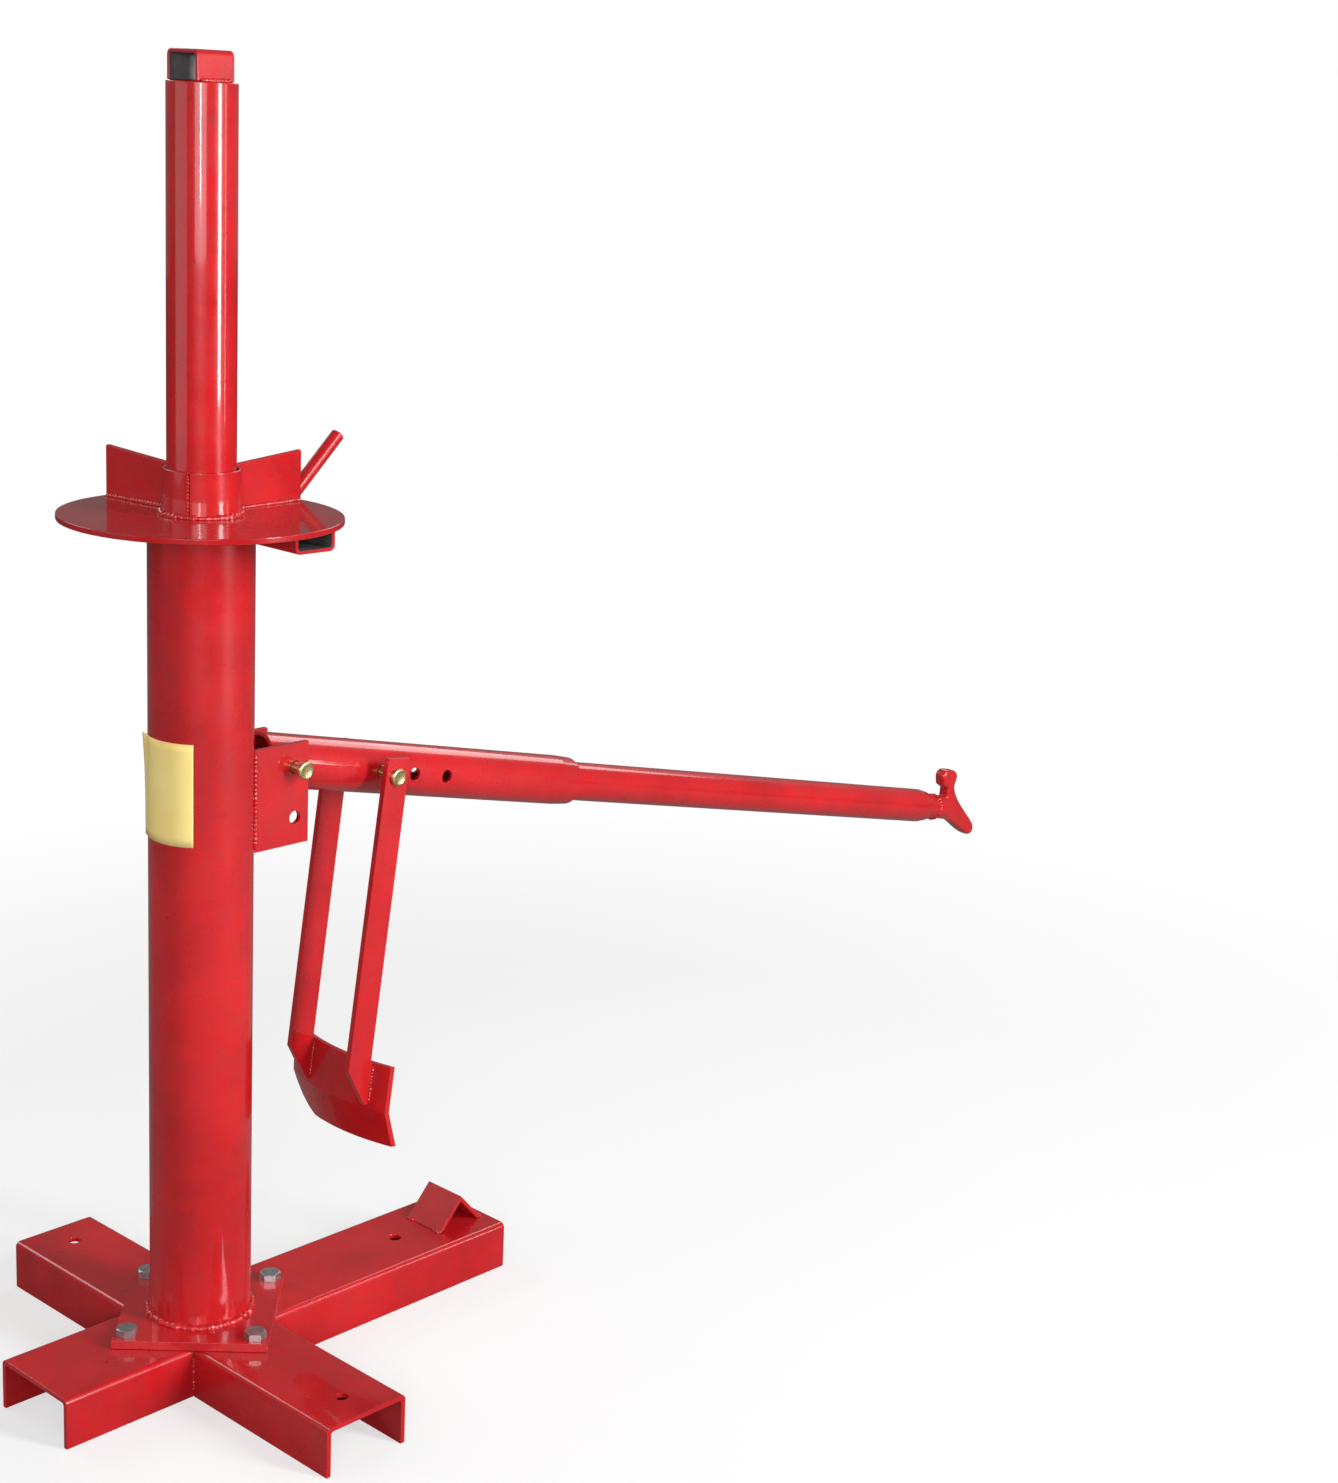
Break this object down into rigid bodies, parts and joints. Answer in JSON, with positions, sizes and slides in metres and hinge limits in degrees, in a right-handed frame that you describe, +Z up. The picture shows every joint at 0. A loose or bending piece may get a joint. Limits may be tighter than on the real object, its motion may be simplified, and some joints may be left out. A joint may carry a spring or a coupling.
{
  "type": "bead breaker",
  "caption": "Manual tyre bead breaker: cross-shaped base, column with wheel-rest disc and mast, pivoting lever with telescopic bar, and a swinging curved shoe.",
  "frame": {"origin": "middle of the footprint's bounding box, on the floor", "axes": "+X along the lever, away from the column; +Y to the left when facing along the lever; +Z up"},
  "size_m": [1.3142, 0.458, 1.1433],
  "materials": {
    "red_enamel": "glossy red enamel over steel",
    "zinc_bolts": "dull bright zinc plating",
    "yellow_zinc": "yellow passivated zinc",
    "spring_steel": "bright spring wire",
    "label_film": "plain printed film with no text"
  },
  "bodies": {
    "stand": {"base_long_channel": "red_enamel", "base_cross_channel_left": "red_enamel", "base_cross_channel_right": "red_enamel", "base_plate": "red_enamel", "wheel_chock_angle": "red_enamel", "column_tube": "red_enamel", "wheel_rest_disc": "red_enamel", "pin_guide_channel": "red_enamel", "mast_collar": "red_enamel", "mast_tube": "red_enamel", "mast_cap": "red_enamel", "mast_top_socket": "red_enamel", "fin_right": "red_enamel", "fin_left": "red_enamel", "locking_pin_keeper": "red_enamel", "bracket_plate_left": "red_enamel", "bracket_plate_right": "red_enamel", "base_bolt_1": "zinc_bolts", "base_bolt_2": "zinc_bolts", "base_bolt_3": "zinc_bolts", "base_bolt_4": "zinc_bolts", "base_nut_1": "zinc_bolts", "base_nut_2": "zinc_bolts", "base_nut_3": "zinc_bolts", "base_nut_4": "zinc_bolts", "lever_pin_clip": "spring_steel", "lever_pin": "yellow_zinc", "column_label": "label_film"},
    "lever": {"lever_sleeve": "red_enamel", "shoe_pin": "yellow_zinc", "shoe_pin_clip": "spring_steel"},
    "shoe": {"shoe_bar_left": "red_enamel", "shoe_bar_right": "red_enamel", "shoe_blade": "red_enamel"},
    "tyre_bar": {"tyre_bar_tube": "red_enamel"},
    "bar_extension": {"bar_extension_tube": "red_enamel", "bar_head": "red_enamel"},
    "locking_pin": {"locking_pin": "red_enamel"}
  },
  "joints": [
    {"name": "lever_pivot", "type": "hinge", "parent": "stand", "child": "lever", "pos_m": [-0.4061, 0, 0.5505], "axis": [0, -1, 0], "range_deg": [0, 75]},
    {"name": "shoe_swing", "type": "hinge", "parent": "lever", "child": "shoe", "pos_m": [-0.30109, 0, 0.52703], "axis": [0, -1, 0], "range_deg": [-17, 65]},
    {"name": "bar_slide", "type": "slide", "parent": "lever", "child": "tyre_bar", "axis": [0.9759, 0, -0.2181], "range_m": [0, 0.1]},
    {"name": "extension_slide", "type": "slide", "parent": "tyre_bar", "child": "bar_extension", "axis": [0.9759, 0, -0.2181], "range_m": [0, 0.2]},
    {"name": "locking_pin_slide", "type": "slide", "parent": "stand", "child": "locking_pin", "axis": [0.9936, 0.1132, 0], "range_m": [0, 0.02]}
  ]
}
